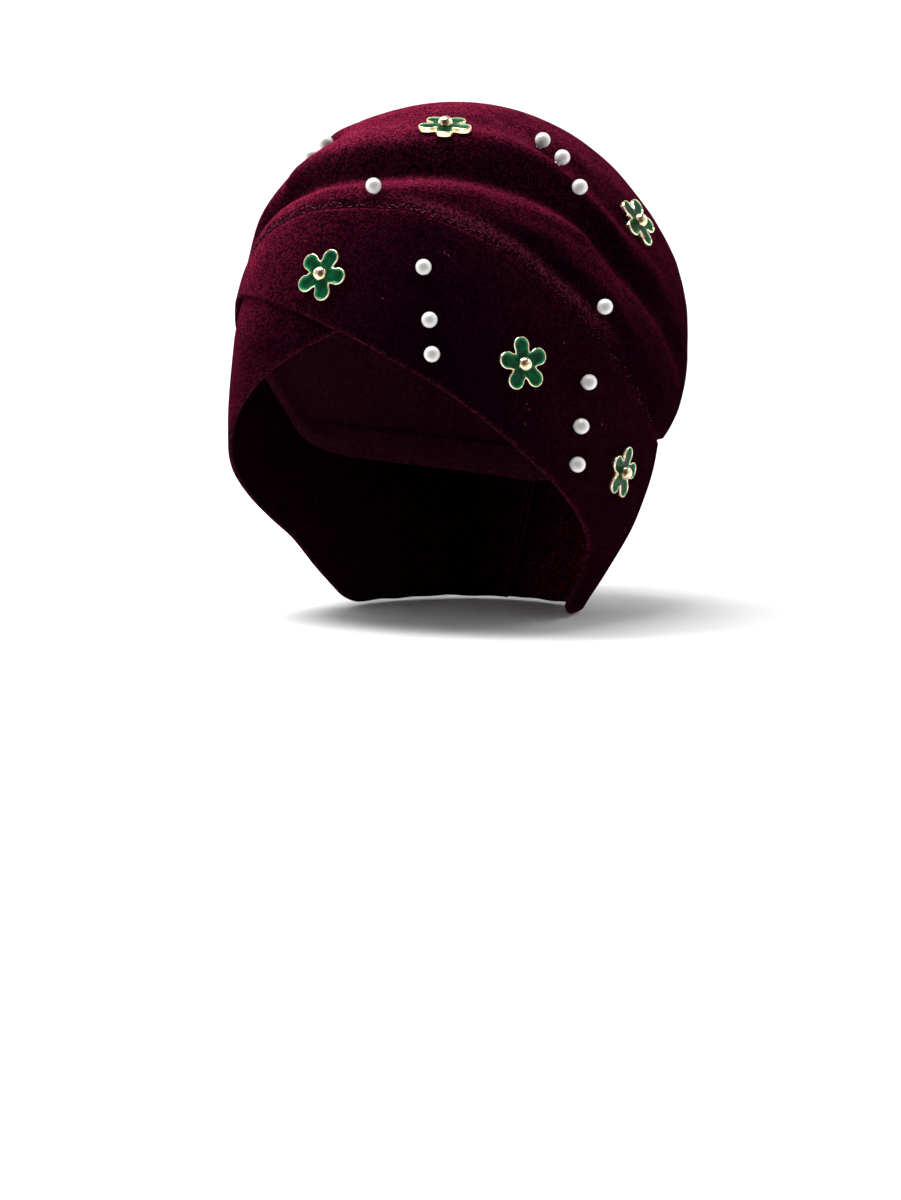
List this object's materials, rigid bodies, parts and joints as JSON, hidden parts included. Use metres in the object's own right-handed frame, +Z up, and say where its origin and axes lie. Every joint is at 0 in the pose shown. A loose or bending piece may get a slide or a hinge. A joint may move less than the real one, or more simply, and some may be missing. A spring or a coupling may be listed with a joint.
{
  "type": "hijab cap",
  "caption": "Velvet turban-style hijab cap with two crossed forehead bands, a gathered puffy crown, and glued enamel flowers and pearls.",
  "frame": {"origin": "middle of the head's hollow, at the height of the brow", "axes": "+Z up as worn, face opening towards -Y, +X towards the wearer's left"},
  "size_m": [0.1616, 0.1949, 0.1915],
  "materials": {
    "velvet": "short-pile wine-red velvet",
    "gilt": "polished pale gold plating",
    "enamel": "glossy green enamel",
    "pearl": "glossy imitation pearl"
  },
  "bodies": {
    "root": {"crown": "velvet", "over_wrap": "velvet", "under_wrap": "velvet", "flower_1_setting": "gilt", "flower_1_enamel": "enamel", "flower_1_bead": "gilt", "flower_2_setting": "gilt", "flower_2_enamel": "enamel", "flower_2_bead": "gilt", "flower_3_setting": "gilt", "flower_3_enamel": "enamel", "flower_3_bead": "gilt", "flower_4_setting": "gilt", "flower_4_enamel": "enamel", "flower_4_bead": "gilt", "flower_5_setting": "gilt", "flower_5_enamel": "enamel", "flower_5_bead": "gilt", "pearl_01": "pearl", "pearl_02": "pearl", "pearl_03": "pearl", "pearl_04": "pearl", "pearl_05": "pearl", "pearl_06": "pearl", "pearl_07": "pearl", "pearl_08": "pearl", "pearl_09": "pearl", "pearl_10": "pearl", "pearl_11": "pearl", "pearl_12": "pearl", "pearl_13": "pearl", "pearl_14": "pearl"}
  },
  "joints": []
}
